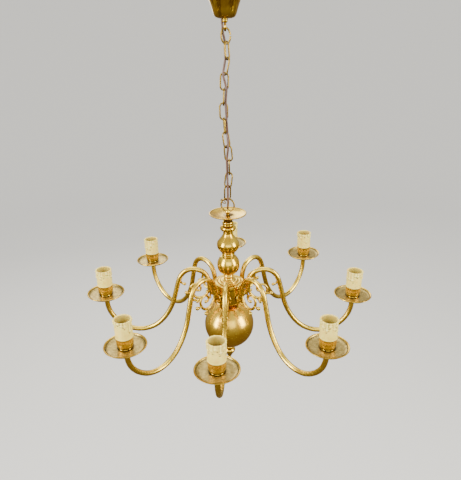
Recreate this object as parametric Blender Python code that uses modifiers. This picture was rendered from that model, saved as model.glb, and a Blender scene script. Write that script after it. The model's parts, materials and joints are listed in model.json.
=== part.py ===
"""Eight arm hanging brass candle chandelier: ceiling canopy, loose link chain with a threaded lead,
turned column, globe, eight plugged-in arms with brazed scrolls, drip pans, lampholders and sleeves.
Sizes are in millimetres here and become metres in the scene. Z is up and the ceiling is at zero."""

import math

import bmesh
import bpy
from mathutils import Matrix, Vector
from mathutils.geometry import interpolate_bezier

mm = 0.001
gap = 0.3  # clearance between pieces that touch in the real object

# ceiling fixing
strapLength = 84.0
strapWidth = 16.0
strapThickness = 2.5
strapScrewRadius = 2.5
strapScrewSpacing = 60.0
bossRadius = 7.0
bossDepth = 12.0
stemRadius = 3.5

# canopy, a spun bell
canopyHeight = 85.0
canopyRadius = 50.0
canopyWall = 1.1
canopyCeilingGap = 0.8

# loop under the canopy, and the chain
collarRadius = 4.75
collarHeight = 6.0
loopRadius = 5.0
loopWire = 2.0
openLinkHalfWidth = 7.7
openLinkHeight = 24.8
openLinkWire = 1.6
linkWire = 1.5
linkHalfWidth = 6.75
linkHeight = 28.76
linkGap = 0.6  # turned and leaning links need more room than other neighbours
ringRadius = 13.4
ringWire = 1.6
keeperRadius = 5.5
keeperWire = 1.0
keeperAngle = 143.0
linkRoundness = 6  # straight pieces in each end bend; even, so that a corner sits at the contact
# how each link of the chain has come to hang: its turn about the vertical, from the open link down
linkTurns = (0.0, 62.0, -58.0, 0.0, 90.0, 0.0, 98.0, 40.0, -13.0, 90.0, -24.0, 36.0)
ringTurn = -15.0
# and how far to the side each contact sits, from the loop's contact down to the ring's
contactSway = (0.0, 1.5, 3.8, -2.2, -3.3, -4.8, -4.4, -2.8, 1.2, 3.8, 4.2, 0.4, 0.0)

# threaded lead, which follows the chain on one side of each link's plane or the other
leadRadius = 2.0
leadSpacing = 8.0  # between the points that its tube is drawn through
leadOffset = 4.0
leadSides = (1, 1, -1, -1, -1, -1, -1, -1, -1, 1, -1, -1, -1)
leadCanopyHole = (-5.5, 6.0)
leadCanopyHoleRadius = 2.6
leadColumnHole = 6.6
leadColumnHoleRadius = 2.5
leadColumnHoleFoot = 142.6
# the points that it is led through: from its canopy hole, the open link's top, the ring's centre,
# and the column's hole at the height of the eye
leadFromCanopy = ((-6.0, 5.0, 38.25), (-1.5, 1.0, 17.0), (0.0, 0.0, 6.0), (0.0, 0.0, -4.0))
leadAtOpenLink = ((-4.9, 4.3, 3.0), (-4.6, 4.3, -4.0))
leadInRing = ((1.2, -3.2, 8.0), (0.6, 3.6, -2.0))
leadAtEye = ((0.0, 1.4, 4.0), (0.0, 1.4, -2.0), (0.0, 0.0, -6.0), (0.0, 0.0, -11.4))
leadPastContact = (4.0, -0.6)  # heights above a link's foot at which it passes from link to link

# column
eyeHeight = 154.8  # the eye's hole above the underside of the arm plate
eyeRadius = 5.0
eyeHoleRadius = 3.0
eyeStemRadius = 3.0
rodRadius = 4.0
rodTop = 135.7
rodDepth = 22.2  # how far the rod screws into the finial
hubTop = 1.3
hubRadius = 28.4
hubHeight = 38.7
hubNeckRadius = 13.0
hubNeckHeight = 5.6
hubBoreDepth = 10.0
globeRadius = 51.5
globeWall = 1.2

# arms
armCount = 8
armReach = 253.75  # column axis to candle axis
armRadius = 5.0
spigotRadius = 4.0
rootHeight = -22.0
rootFlangeRadius = 7.5
rootFlangeThickness = 3.0
scrollRadius = 2.8
twigRadius = 2.1
firstArmAngle = -91.31
# the small turn and lift that each arm took up when it was tightened, in degrees
armTurns = (-2.93, 1.89, 1.1, 2.54, -0.35, 1.16, -0.82, -2.59)
armLifts = (0.38, -0.48, 0.33, -1.42, 0.76, 1.40, -0.74, -0.20)

# candle fittings, with heights from the same datum as the arms
panRadius = 37.5
nippleRadius = 4.0
sleeveRadius = 15.5
sleeveWall = 2.6
sleeveTop = 33.2
holderClearance = 1.3  # between the lampholder and the sleeve that slips over it
holderWall = 4.6
holderTop = 19.0
holderFoot = -16.2
cupTop = -2.0
panUnder = -24.6

# finish of the faceted shapes
turnSteps = 16
largeSteps = 18
panSteps = 12
sleeveSteps = 12
holderSteps = 10
smallSteps = 8
holeSides = 20
smallHoleSides = 16

rodBore = rodRadius + gap
hubFoot = hubTop - hubHeight
globeMouth = math.asin((rodBore + gap) / globeRadius)  # half the angle of the globe's rod holes
globeHalf = globeRadius * math.cos(globeMouth)
globeCentre = hubFoot - hubNeckHeight - gap - globeHalf
finialTop = globeCentre - globeHalf - gap
rodFoot = finialTop - rodDepth
sleeveBore = sleeveRadius - sleeveWall
holderRadius = sleeveBore - holderClearance
holderBore = holderRadius - holderWall
cupRadius = sleeveRadius - 0.5
openContact = openLinkWire + linkWire + linkGap
linkContact = 2 * linkWire + linkGap
ringContact = linkWire + ringWire + linkGap

# outlines of the turned column pieces: radius and height, down the outside
topDiscOutline = (
    (12.0, 148.6), (24.0, 149.8), (33.0, 152.2), (35.2, 153.0), (36.2, 152.4), (35.6, 151.2),
    (30.0, 149.0), (20.0, 146.6), (12.4, 145.2), (10.2, 142.0), (8.7, 138.6), (8.6, 136.3),
)
knopOutline = (
    (8.8, 136.0), (10.8, 133.8), (9.9, 130.0), (12.6, 126.8), (15.0, 123.8), (15.3, 121.2),
    (14.4, 118.8), (11.6, 116.6), (8.9, 115.2), (9.0, 113.3),
)
vaseOutline = (
    (9.4, 113.0), (10.0, 111.8), (9.4, 110.4), (12.4, 104.6), (17.2, 98.0), (21.0, 92.4),
    (22.4, 86.6), (21.0, 80.4), (16.8, 74.0), (12.0, 69.2), (12.9, 67.2), (11.6, 65.3),
)
ballOutline = (
    (12.0, 65.0), (13.2, 63.4), (12.6, 62.2), (16.0, 60.2), (19.4, 56.0), (22.0, 49.0),
    (22.6, 42.6), (21.0, 33.8), (16.6, 27.0), (10.4, 22.4), (9.2, 20.3),
)
plateOutline = (
    (9.2, 20.0), (9.8, 17.0), (9.0, 13.8), (10.6, 11.0), (13.2, 9.4), (17.6, 9.0), (18.0, 7.4),
    (23.6, 6.8), (24.0, 5.6), (28.4, 5.4), (30.6, 5.4), (31.0, 4.0), (30.2, 2.1), (28.8, 1.6),
)
# the finial's heights run down from its own top
finialOutline = (
    (7.5, 0.0), (8.0, -1.3), (5.8, -5.7), (7.2, -9.1), (11.4, -12.1), (12.4, -15.3),
    (11.2, -19.1), (7.6, -24.1), (5.4, -29.1), (2.7, -33.1), (4.4, -38.3), (2.8, -42.1),
)
finialHeight = 43.1

# centre line of an arm: distance out from the hub's rim and height, from the hub outwards
crownReach = 47.6
armRoute = (
    (3.2, rootHeight), (6.0, -20.8), (9.0, -15.4), (10.9, -6.0), (13.1, 8.0), (18.1, 20.0),
    (26.1, 28.0), (36.6, 32.0), (48.6, 32.4), (60.6, 27.4), (70.6, 15.5), (80.2, -16.0),
    (87.0, -41.0), (96.4, -62.5), (109.6, -82.0), (126.6, -97.5), (146.6, -106.0), (166.6, -107.4),
    (186.6, -101.4), (205.6, -87.0), (218.6, -69.0), (224.4, -50.0), (225.35, -25.0),
)
scrollRoute = (
    (11.2, -9.0), (14.6, -20.0), (21.6, -29.0), (30.6, -33.0), (40.6, -31.0), (48.2, -22.0),
    (50.6, -12.0), (47.0, -4.4), (39.2, -1.2), (32.2, -4.4), (29.2, -10.6), (32.0, -16.4),
    (36.6, -15.4),
)
twigRoutes = (
    ((48.6, -21.0), (53.6, -22.4), (58.6, -21.4)),
    ((30.6, -33.0), (34.0, -38.0), (37.0, -42.0)),
    ((8.2, -17.0), (10.0, -26.0), (11.0, -32.0)),
    ((72.6, 12.0), (67.6, 1.0), (62.6, -0.6)),
)
budRadii = (4.0, 3.6, 3.2, 3.4)


def clearScene():
    for thing in list(bpy.data.objects):
        bpy.data.objects.remove(thing)
    for group in list(bpy.data.collections):
        bpy.data.collections.remove(group)


def newCollection(name, hidden):
    group = bpy.data.collections.new(name)
    group.hide_render = hidden
    bpy.context.scene.collection.children.link(group)
    return group


clearScene()
parts = newCollection("multi_arm_chandelier", False)
cutters = newCollection("cutters", True)

finishes = {
    "polished_brass": ((0.83, 0.58, 0.20, 1.0), 1.0, 0.18),
    "satin_brass": ((0.80, 0.60, 0.28, 1.0), 1.0, 0.38),
    "aged_brass": ((0.66, 0.55, 0.36, 1.0), 1.0, 0.45),
    "chain_brass": ((0.70, 0.52, 0.24, 1.0), 1.0, 0.32),
    "candle_card": ((0.83, 0.74, 0.50, 1.0), 0.0, 0.50),
    "holder_plastic": ((0.55, 0.42, 0.16, 1.0), 0.0, 0.45),
    "lead_plastic": ((0.42, 0.27, 0.17, 1.0), 0.0, 0.35),
    "zinc_steel": ((0.62, 0.63, 0.64, 1.0), 1.0, 0.40),
}


def finish(thing, kind):
    """Gives the piece a material of its own."""
    colour, metallic, roughness = finishes[kind]
    made = bpy.data.materials.new(thing.name)
    made.use_nodes = True
    shader = made.node_tree.nodes["Principled BSDF"]
    shader.inputs["Base Color"].default_value = colour
    shader.inputs["Metallic"].default_value = metallic
    shader.inputs["Roughness"].default_value = roughness
    thing.data.materials.clear()
    thing.data.materials.append(made)
    return thing


def newObject(name, mesh, group):
    thing = bpy.data.objects.new(name, mesh)
    group.objects.link(thing)
    if group is cutters:
        thing.hide_render = True
        thing.display_type = "WIRE"
    return thing


def turned(name, outline, steps, isRing, group=parts):
    """Turns an outline of radius and height about Z. A ring's outline closes on itself."""
    points = [(radius * mm, 0.0, height * mm) for radius, height in outline]
    edges = [(i, i + 1) for i in range(len(points) - 1)]
    if isRing:
        edges.append((len(points) - 1, 0))
    mesh = bpy.data.meshes.new(name)
    mesh.from_pydata(points, edges, [])
    thing = newObject(name, mesh, group)
    turning = thing.modifiers.new("turning", "SCREW")
    turning.steps = steps
    turning.render_steps = steps
    turning.use_merge_vertices = True
    turning.merge_threshold = 0.00001
    turning.use_smooth_shade = True
    return thing


def meshOf(thing):
    """The object's finished mesh, in world space. The object itself is removed."""
    bpy.context.view_layer.update()
    graph = bpy.context.evaluated_depsgraph_get()
    mesh = bpy.data.meshes.new_from_object(thing.evaluated_get(graph))
    mesh.transform(thing.matrix_world)
    bpy.data.objects.remove(thing)
    for face in mesh.polygons:
        face.use_smooth = True
    return mesh


def welded(mesh):
    work = bmesh.new()
    work.from_mesh(mesh)
    bmesh.ops.remove_doubles(work, verts=work.verts, dist=0.000001)
    bmesh.ops.recalc_face_normals(work, faces=work.faces)
    work.to_mesh(mesh)
    work.free()
    return mesh


def bar(name, route, radius, resolution, isLoop=False, group=parts):
    """A round bar along a route of points in millimetres."""
    curve = bpy.data.curves.new(name, "CURVE")
    curve.dimensions = "3D"
    curve.bevel_depth = radius * mm
    curve.bevel_resolution = resolution
    curve.use_fill_caps = not isLoop
    spline = curve.splines.new("POLY")
    spline.points.add(len(route) - 1)
    for point, place in zip(spline.points, route):
        point.co = (*(Vector(place) * mm), 1.0)
    spline.use_cyclic_u = isLoop
    mesh = welded(meshOf(newObject(name, curve, group)))
    return newObject(name, mesh, group)


def rod(name, start, end, radius, sides, group=parts):
    """A plain cylinder between two points in millimetres."""
    start = Vector(start)
    end = Vector(end)
    turn = (end - start).to_track_quat("Z", "X").to_matrix().to_4x4()
    outline = ((0.0, (end - start).length), (radius, (end - start).length), (radius, 0.0), (0.0, 0.0))
    thing = turned(name, outline, sides, False, group)
    thing.matrix_world = Matrix.Translation(start * mm) @ turn
    return newObject(name, welded(meshOf(thing)), group)


def bead(name, centre, radius, group=parts):
    """A small ball with flat ends to its outline, as cast buds have."""
    ring = [math.pi * i / 4 for i in range(1, 4)]
    outline = [(0.0, radius)] + [(radius * math.sin(a), radius * math.cos(a)) for a in ring]
    thing = turned(name, outline + [(0.0, -radius)], 5, False, group)
    thing.location = Vector(centre) * mm
    return newObject(name, welded(meshOf(thing)), group)


def block(name, low, high, group=parts):
    """A box from its low corner to its high corner in millimetres."""
    corners = [(x, y, z) for x in (low[0], high[0]) for y in (low[1], high[1]) for z in (low[2], high[2])]
    faces = [(0, 1, 3, 2), (4, 6, 7, 5), (0, 4, 5, 1), (2, 3, 7, 6), (0, 2, 6, 4), (1, 5, 7, 3)]
    mesh = bpy.data.meshes.new(name)
    mesh.from_pydata([Vector(corner) * mm for corner in corners], [], faces)
    return newObject(name, mesh, group)


def boolean(thing, other, operation):
    step = thing.modifiers.new(other.name, "BOOLEAN")
    step.solver = "EXACT"
    step.operation = operation
    step.object = other
    return thing


def joined(name, pieces):
    """One mesh from overlapping pieces, which are removed."""
    body = pieces[0]
    for piece in pieces[1:]:
        boolean(body, piece, "UNION")
    mesh = meshOf(body)
    for piece in pieces[1:]:
        bpy.data.objects.remove(piece)
    mesh.name = name
    return newObject(name, welded(mesh), parts)


def pivotAt(name, place, axis):
    """An empty on a joint, with its X along the joint's axis."""
    pivot = bpy.data.objects.new(name, None)
    pivot.empty_display_size = 0.01
    parts.objects.link(pivot)
    turn = Vector(axis).to_track_quat("X", "Z").to_matrix().to_4x4()
    pivot.matrix_world = Matrix.Translation(Vector(place) * mm) @ turn
    return pivot


def hang(thing, pivot, world=None):
    """Parents a piece to its pivot and keeps it where it is."""
    bpy.context.view_layer.update()
    where = thing.matrix_world.copy() if world is None else world
    thing.parent = pivot
    thing.matrix_basis = pivot.matrix_world.inverted() @ where


def ceilingFixing():
    half = strapLength / 2
    strap = block("strap", (-half, -strapWidth / 2, -strapThickness), (half, strapWidth / 2, 0))
    foot = -strapThickness - bossDepth
    boss = rod("boss", (0, 0, foot), (0, 0, -strapThickness / 2), bossRadius, turnSteps)
    crossbar = joined("crossbar", [strap, boss])
    socketTop = (0, 0, -strapThickness - 1)
    cuts = [rod("boss_socket", (0, 0, foot - 1), socketTop, stemRadius + gap, turnSteps, cutters)]
    for side in (-1, 1):
        x = side * strapScrewSpacing / 2
        name = f"strap_hole_{side + 2}"
        cuts.append(rod(name, (x, 0, -strapThickness - 1), (x, 0, 1), strapScrewRadius, holeSides, cutters))
    for cut in cuts:
        boolean(crossbar, cut, "DIFFERENCE")
    finish(crossbar, "zinc_steel")


def canopyShell():
    radius = canopyRadius
    height = canopyHeight
    outside = (
        (radius, -canopyCeilingGap), (radius, -height * 0.05), (radius * 0.88, -height * 0.14),
        (radius * 0.71, -height * 0.36), (radius * 0.56, -height * 0.62), (radius * 0.45, -height * 0.8),
        (radius * 0.38, -height * 0.92), (radius * 0.32, -height * 0.975), (radius * 0.22, -height),
    )
    inside = []
    for i in range(len(outside) - 1, 0, -1):
        before = Vector(outside[i - 1])
        after = Vector(outside[min(i + 1, len(outside) - 1)])
        along = (after - before).normalized()
        inside.append((outside[i][0] + along.y * canopyWall, outside[i][1] - along.x * canopyWall))
    inside[0] = (outside[-1][0], canopyWall - height)
    inside.append((radius - canopyWall, -canopyCeilingGap))
    mouth = stemRadius + 2 * gap
    outline = [*outside, (mouth, -height), (mouth, canopyWall - height), *inside]
    canopy = turned("canopy", outline, turnSteps, True)
    x, y = leadCanopyHole
    ends = ((x, y, -height - 5), (x, y, 10 - height))
    hole = rod("canopy_lead_hole", *ends, leadCanopyHoleRadius, smallHoleSides, cutters)
    boolean(canopy, hole, "DIFFERENCE")
    finish(canopy, "polished_brass")


def circle(radius, count, plane, centre):
    """Points round a circle in the plane of two directions."""
    turns = [2 * math.pi * (i + 0.5) / count for i in range(count)]
    first, second = plane
    return [Vector(centre) + (first * math.cos(a) + second * math.sin(a)) * radius for a in turns]


sideways = Vector((1, 0, 0))
ringAcross = Vector((math.cos(math.radians(ringTurn)), math.sin(math.radians(ringTurn)), 0))
inwards = Vector((0, 1, 0))
upright = Vector((0, 0, 1))

loopCentre = -canopyHeight - gap - collarHeight - loopRadius - 1.6
loopContact = loopCentre - loopRadius


def loopUnderCanopy():
    top = -strapThickness - 2
    foot = -canopyHeight - gap
    outline = (
        (0, top), (stemRadius, top), (stemRadius, foot), (collarRadius, foot),
        (collarRadius, foot - collarHeight * 0.6), (collarRadius * 0.75, foot - collarHeight), (0, foot - collarHeight),
    )
    neck = newObject("neck", welded(meshOf(turned("neck", outline, turnSteps, False))), parts)
    eye = bar("loop", circle(loopRadius, 12, (inwards, upright), (0, 0, loopCentre)), loopWire, 2, True)
    finish(joined("canopy_loop", [neck, eye]), "polished_brass")


def stadium(halfWidth, height, roundness):
    """The centre line of a chain link in its own plane, with its top at zero."""
    bend = [0.0, *[math.pi * i / roundness for i in range(1, roundness)], math.pi]
    top = [(halfWidth * math.cos(a), halfWidth * (math.sin(a) - 1)) for a in bend]
    return top + [(-x, -height - z) for x, z in top]


def linkFrame(top, foot, turn):
    """Axes of a link that hangs from top to foot and is turned about the vertical."""
    down = (foot - top).normalized()
    across = Vector((math.cos(math.radians(turn)), math.sin(math.radians(turn)), 0.0))
    across = (across - down * across.dot(down)).normalized()
    return across, -down


def chainPlan():
    """Top and foot wire centres of each link, as (top, foot, turn) from the open link to the last."""
    plan = []
    top = Vector((contactSway[0], 0.0, loopContact + loopWire + openLinkWire + gap))
    for i, turn in enumerate(linkTurns):
        height = openLinkHeight if i == 0 else linkHeight
        shift = contactSway[i + 1] - contactSway[i]
        foot = Vector((contactSway[i + 1], 0.0, top.z - math.sqrt(height**2 - shift**2)))
        plan.append((top, foot, turn))
        rise = openContact if i == 0 else linkContact
        if i == len(linkTurns) - 1:
            rise = ringContact
        top = foot + upright * rise
    return plan, top


plan, ringTop = chainPlan()
ringCentre = ringTop - upright * ringRadius
ringFoot = ringTop - upright * 2 * ringRadius
datum = ringFoot.z - (eyeHoleRadius - ringWire - 3 * gap) - eyeHeight  # underside of the arm plate
lampShift = Matrix.Translation((0, 0, datum * mm))


def linkNames():
    return ["top_link"] + [f"link_{i:02d}" for i in range(1, len(linkTurns))]


def chain():
    axis = inwards
    place = Vector((0, 0, loopContact))
    for name, (top, foot, turn) in zip(linkNames(), plan):
        across, up = linkFrame(top, foot, turn)
        if name == "top_link":
            half = (top - foot).length / 2
            middle = (top + foot) / 2
            turns = [2 * math.pi * i / 14 for i in range(14)]
            route = [middle + across * openLinkHalfWidth * math.sin(a) + up * half * math.cos(a) for a in turns]
            wire = openLinkWire
        else:
            flat = stadium(linkHalfWidth, (top - foot).length, linkRoundness)
            route = [top + across * x + up * z for x, z in flat]
            wire = linkWire
        pivot = pivotAt(f"pivot_{name}", place, axis)
        link = finish(bar(name, route, wire, 1, True), "chain_brass")
        hang(link, pivot)
        axis = across
        place = foot
    pivot = pivotAt("pivot_ring", place, axis)
    loop = circle(ringRadius, 16, (ringAcross, upright), ringCentre)
    hang(finish(bar("ring", loop, ringWire, 1, True), "chain_brass"), pivot)


def keeper():
    turn = math.radians(keeperAngle)
    outward = ringAcross * math.cos(turn) + upright * math.sin(turn)
    through = upright.cross(ringAcross)
    onWire = ringCentre + outward * ringRadius
    middle = onWire - outward * (keeperRadius - keeperWire - ringWire - gap)
    pivot = pivotAt("pivot_keeper", onWire, outward.cross(through))
    loop = circle(keeperRadius, 10, (outward, through), middle)
    hang(finish(bar("keeper_ring", loop, keeperWire, 1, True), "chain_brass"), pivot)


def sideOf(turn, side):
    """A line that keeps a set distance from a link's plane: its normal, and the distance."""
    angle = math.radians(turn)
    return -math.sin(angle), math.cos(angle), side * leadOffset


def crossing(first, second):
    """Where two such lines meet, seen from above."""
    a, b, c = first
    d, e, f = second
    scale = a * e - b * d
    return Vector(((c * e - b * f) / scale, (a * f - c * d) / scale, 0.0))


def smoothed(route, spacing):
    """Points along one smooth curve through a route's own points."""
    leanings = []
    for i, here in enumerate(route):
        before = route[max(i - 1, 0)]
        after = route[min(i + 1, len(route) - 1)]
        leanings.append((after - before) / ((after - here).length + (here - before).length))
    points = [route[0]]
    for i, (start, end) in enumerate(zip(route, route[1:])):
        reach = (end - start).length / 3
        count = max(1, round((end - start).length / spacing)) + 1
        handles = (start + leanings[i] * reach, end - leanings[i + 1] * reach)
        points += interpolate_bezier(start, *handles, end, count)[1:]
    return points


def leadRoute():
    """The lead from inside the canopy, down beside the chain and into the column."""
    canopyHole = Vector((*leadCanopyHole, -canopyHeight))
    columnHole = Vector((0, leadColumnHole, datum + eyeHeight))
    openTop = upright * plan[0][0].z
    route = [canopyHole + Vector(step) for step in leadFromCanopy]
    route += [openTop + Vector(step) for step in leadAtOpenLink]
    lines = [sideOf(turn, side) for turn, side in zip((*linkTurns, ringTurn), leadSides)]
    for i, (top, foot, turn) in enumerate(plan):
        beside = crossing(lines[i], lines[i + 1])
        route += [foot + upright * rise + beside for rise in leadPastContact]
    route += [upright * ringCentre.z + Vector(step) for step in leadInRing]
    route += [columnHole + Vector(step) for step in leadAtEye]
    return smoothed(route, leadSpacing)


def column():
    hole = eyeStemRadius + gap
    outline = ((hole, topDiscOutline[0][1] + 0.8), *topDiscOutline, (hole, topDiscOutline[-1][1]))
    disc = turned("top_disc", outline, largeSteps, True)
    ends = ((0, leadColumnHole, leadColumnHoleFoot), (0, leadColumnHole, eyeHeight))
    drill = rod("disc_lead_hole", *ends, leadColumnHoleRadius, smallHoleSides, cutters)
    drill.location = (0, 0, datum * mm)
    disc.matrix_world = lampShift
    boolean(disc, drill, "DIFFERENCE")
    finish(disc, "satin_brass")
    rings = (("knop", knopOutline), ("vase", vaseOutline), ("column_ball", ballOutline), ("arm_plate", plateOutline))
    for name, outline in rings:
        full = ((rodBore, outline[0][1]), *outline, (rodBore, outline[-1][1]))
        piece = turned(name, full, turnSteps if name != "arm_plate" else largeSteps, True)
        piece.matrix_world = lampShift
        finish(piece, "polished_brass")
    steps = [math.pi * i / 4 for i in range(0, 4)]
    outline = [(eyeRadius * math.sin(a), eyeHeight + eyeRadius * math.cos(a)) for a in steps]
    outline += [(eyeStemRadius, eyeHeight - eyeRadius * 0.85), (eyeStemRadius, 137.2), (0, 137.2)]
    eye = turned("eye", outline, holderSteps, False)
    eye.matrix_world = lampShift
    centre = upright * (datum + eyeHeight)
    ends = (centre - ringAcross * 9, centre + ringAcross * 9)
    hole = rod("eye_hole", *ends, eyeHoleRadius, holderSteps, cutters)
    boolean(eye, hole, "DIFFERENCE")
    finish(eye, "polished_brass")
    shaft = turned("rod", ((0, rodTop), (rodRadius, rodTop), (rodRadius, rodFoot), (0, rodFoot)), holderSteps, False)
    shaft.matrix_world = lampShift
    finish(shaft, "zinc_steel")


def armAngle(index):
    return firstArmAngle - 360 / armCount * index + armTurns[index]


def hubAndGlobe():
    neckFoot = hubFoot - hubNeckHeight
    outline = (
        (rodBore, hubTop), (hubRadius - 1.4, hubTop), (hubRadius, hubTop - 1.6), (hubRadius, hubFoot + 1.8),
        (hubRadius - 1.6, hubFoot), (hubNeckRadius, hubFoot), (hubNeckRadius - 1.5, neckFoot), (rodBore, neckFoot),
    )
    hub = turned("hub", outline, largeSteps, True)
    hub.matrix_world = lampShift
    for index in range(armCount):
        angle = math.radians(armAngle(index))
        out = Vector((math.cos(angle), math.sin(angle), 0))
        place = Vector((0, 0, datum + rootHeight))
        start = place + out * (hubRadius - hubBoreDepth)
        bore = rod(f"hub_bore_{index + 1}", start, place + out * (hubRadius + 6), spigotRadius + 2 * gap, 10, cutters)
        boolean(hub, bore, "DIFFERENCE")
    finish(hub, "polished_brass")
    turns = [globeMouth + (math.pi - 2 * globeMouth) * i / 10 for i in range(11)]
    outside = [(globeRadius * math.sin(a), globeCentre + globeRadius * math.cos(a)) for a in turns]
    inner = globeRadius - globeWall
    inside = [(inner * math.sin(a), globeCentre + inner * math.cos(a)) for a in reversed(turns)]
    globe = turned("globe", outside + inside, largeSteps, True)
    globe.matrix_world = lampShift
    finish(globe, "satin_brass")
    socket = rodFoot - 1.5
    outline = [(radius, finialTop + height) for radius, height in finialOutline]
    outline = [(0, socket), (rodBore, socket), (rodBore, finialTop), *outline, (0, finialTop - finialHeight)]
    finial = turned("drop_finial", outline, turnSteps, False)
    finial.matrix_world = lampShift
    finish(finial, "polished_brass")


def stretched(route):
    """A route for this hub and reach: the hub end and crown keep their shape, and the rest stretches."""
    stretch = (armReach - hubRadius - crownReach) / (armRoute[-1][0] - crownReach)
    beyond = [(max(x - crownReach, 0) * (stretch - 1), z) for x, z in route]
    return [(hubRadius + x + more, 0, z) for (x, z), (more, _) in zip(route, beyond)]


def armMesh():
    pieces = [bar("tube", stretched(armRoute), armRadius, 1)]
    flange = hubRadius + 3 * gap
    start = (hubRadius - hubBoreDepth + 2, 0, rootHeight)
    pieces.append(rod("spigot", start, (flange + 4, 0, rootHeight), spigotRadius, smallSteps))
    ends = ((flange, 0, rootHeight), (flange + rootFlangeThickness, 0, rootHeight))
    pieces.append(rod("flange", *ends, rootFlangeRadius, holderSteps))
    pieces.append(rod("nipple", (armReach, 0, -30), (armReach, 0, holderFoot - gap), nippleRadius, smallSteps))
    pieces.append(bar("scroll", stretched(scrollRoute), scrollRadius, 1))
    for i, (route, radius) in enumerate(zip(twigRoutes, budRadii)):
        twig = stretched(route)
        pieces.append(bar(f"twig_{i}", twig, twigRadius, 1))
        pieces.append(bead(f"bud_{i}", twig[-1], radius))
    arm = joined("arm", pieces)
    mesh = arm.data
    bpy.data.objects.remove(arm)
    return mesh


def panOutline():
    edge = panRadius
    cup = cupRadius
    bore = nippleRadius + gap
    return (
        (bore, -18.6), (cup - 3.0, -18.6), (cup - 1.9, -14.0), (cup - 1.0, cupTop - 0.4), (cup, cupTop),
        (cup - 0.1, -11.0), (cup - 1.8, -17.6), (cup - 3.2, -21.8), (edge - 8.5, -22.6), (edge - 3.2, -20.8),
        (edge - 1.2, -18.4), (edge, -19.2), (edge - 5.5, -23.9), (bore, panUnder),
    )


def holderOutline():
    pin = 2.2
    return (
        (0, -2.6), (pin, -2.6), (pin + 0.5, -4.4), (holderBore, -4.4), (holderBore, holderTop - 0.6),
        (holderBore + 1.2, holderTop), (holderRadius - 1.0, holderTop - 1.0), (holderRadius, holderTop - 3.4),
        (holderRadius, holderFoot), (0, holderFoot),
    )


def sleeveOutline():
    foot = cupTop + gap
    return (
        (sleeveBore, sleeveTop - 1.0), (sleeveRadius - 1.2, sleeveTop), (sleeveRadius + 0.3, sleeveTop - 1.0),
        (sleeveRadius + 0.1, sleeveTop - 5.0), (sleeveRadius - 0.4, 14.0), (sleeveRadius, foot), (sleeveBore, foot),
    )


def arms():
    mesh = armMesh()
    for index in range(armCount):
        number = index + 1
        turn = Matrix.Rotation(math.radians(armAngle(index)), 4, "Z")
        root = Matrix.Translation(Vector((hubRadius, 0, rootHeight)) * mm)
        lift = root @ Matrix.Rotation(-math.radians(armLifts[index]), 4, "Y") @ root.inverted()
        frame = lampShift @ turn @ lift
        arm = newObject(f"arm_{number}", mesh.copy(), parts)
        arm.matrix_world = frame
        finish(arm, "polished_brass")
        seat = frame @ Matrix.Translation((armReach * mm, 0, 0))
        pan = turned(f"pan_{number}", panOutline(), panSteps, True)
        pan.matrix_world = seat
        finish(pan, "aged_brass")
        holder = turned(f"lampholder_{number}", holderOutline(), holderSteps, False)
        holder.matrix_world = seat
        finish(holder, "holder_plastic")
        axis = (seat.to_3x3() @ upright).normalized()
        pivot = pivotAt(f"pivot_sleeve_{number}", seat.translation / mm, axis)
        sleeve = turned(f"sleeve_{number}", sleeveOutline(), sleeveSteps, True)
        hang(sleeve, pivot, seat)
        finish(sleeve, "candle_card")
    bpy.data.meshes.remove(mesh)


ceilingFixing()
canopyShell()
loopUnderCanopy()
chain()
keeper()
finish(bar("flex", leadRoute(), leadRadius, 2), "lead_plastic")
column()
hubAndGlobe()
arms()
pivotAt("pivot_lamp", ringFoot, ringAcross)
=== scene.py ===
# Looks for the eight arm brass chandelier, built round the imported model.
# Sizes are in millimetres unless a name says otherwise, and mm turns them to metres.
import json
import math
import random

import bmesh
import bpy
from mathutils import Matrix, Vector
from mathutils.geometry import interpolate_bezier

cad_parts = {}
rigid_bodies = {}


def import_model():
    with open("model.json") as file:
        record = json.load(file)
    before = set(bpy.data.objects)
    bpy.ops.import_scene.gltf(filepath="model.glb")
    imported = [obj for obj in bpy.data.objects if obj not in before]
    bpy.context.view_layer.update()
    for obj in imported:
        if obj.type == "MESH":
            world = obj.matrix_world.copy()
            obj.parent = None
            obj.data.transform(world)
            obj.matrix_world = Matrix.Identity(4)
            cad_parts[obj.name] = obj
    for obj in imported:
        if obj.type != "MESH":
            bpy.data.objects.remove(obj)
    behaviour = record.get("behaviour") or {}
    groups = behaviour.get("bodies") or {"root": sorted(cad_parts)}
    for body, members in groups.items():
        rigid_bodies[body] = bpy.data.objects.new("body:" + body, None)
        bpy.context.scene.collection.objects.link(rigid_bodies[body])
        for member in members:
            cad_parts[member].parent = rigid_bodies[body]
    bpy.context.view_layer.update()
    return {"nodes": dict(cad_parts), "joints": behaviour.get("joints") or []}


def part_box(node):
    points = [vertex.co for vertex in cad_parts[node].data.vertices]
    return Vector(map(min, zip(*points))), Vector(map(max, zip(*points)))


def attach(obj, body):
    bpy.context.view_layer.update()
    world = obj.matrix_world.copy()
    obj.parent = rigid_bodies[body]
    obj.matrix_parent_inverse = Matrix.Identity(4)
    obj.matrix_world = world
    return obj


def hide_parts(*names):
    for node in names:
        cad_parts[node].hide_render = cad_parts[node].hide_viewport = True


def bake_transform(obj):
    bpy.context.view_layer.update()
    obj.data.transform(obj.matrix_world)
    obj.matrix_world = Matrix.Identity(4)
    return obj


for thing in list(bpy.data.objects):
    bpy.data.objects.remove(thing)
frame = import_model()

mm = 0.001
up = Vector((0, 0, 1))
joints = {joint["name"]: joint for joint in frame["joints"]}


# shapes: every piece is turned from an outline or swept along a route

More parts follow.
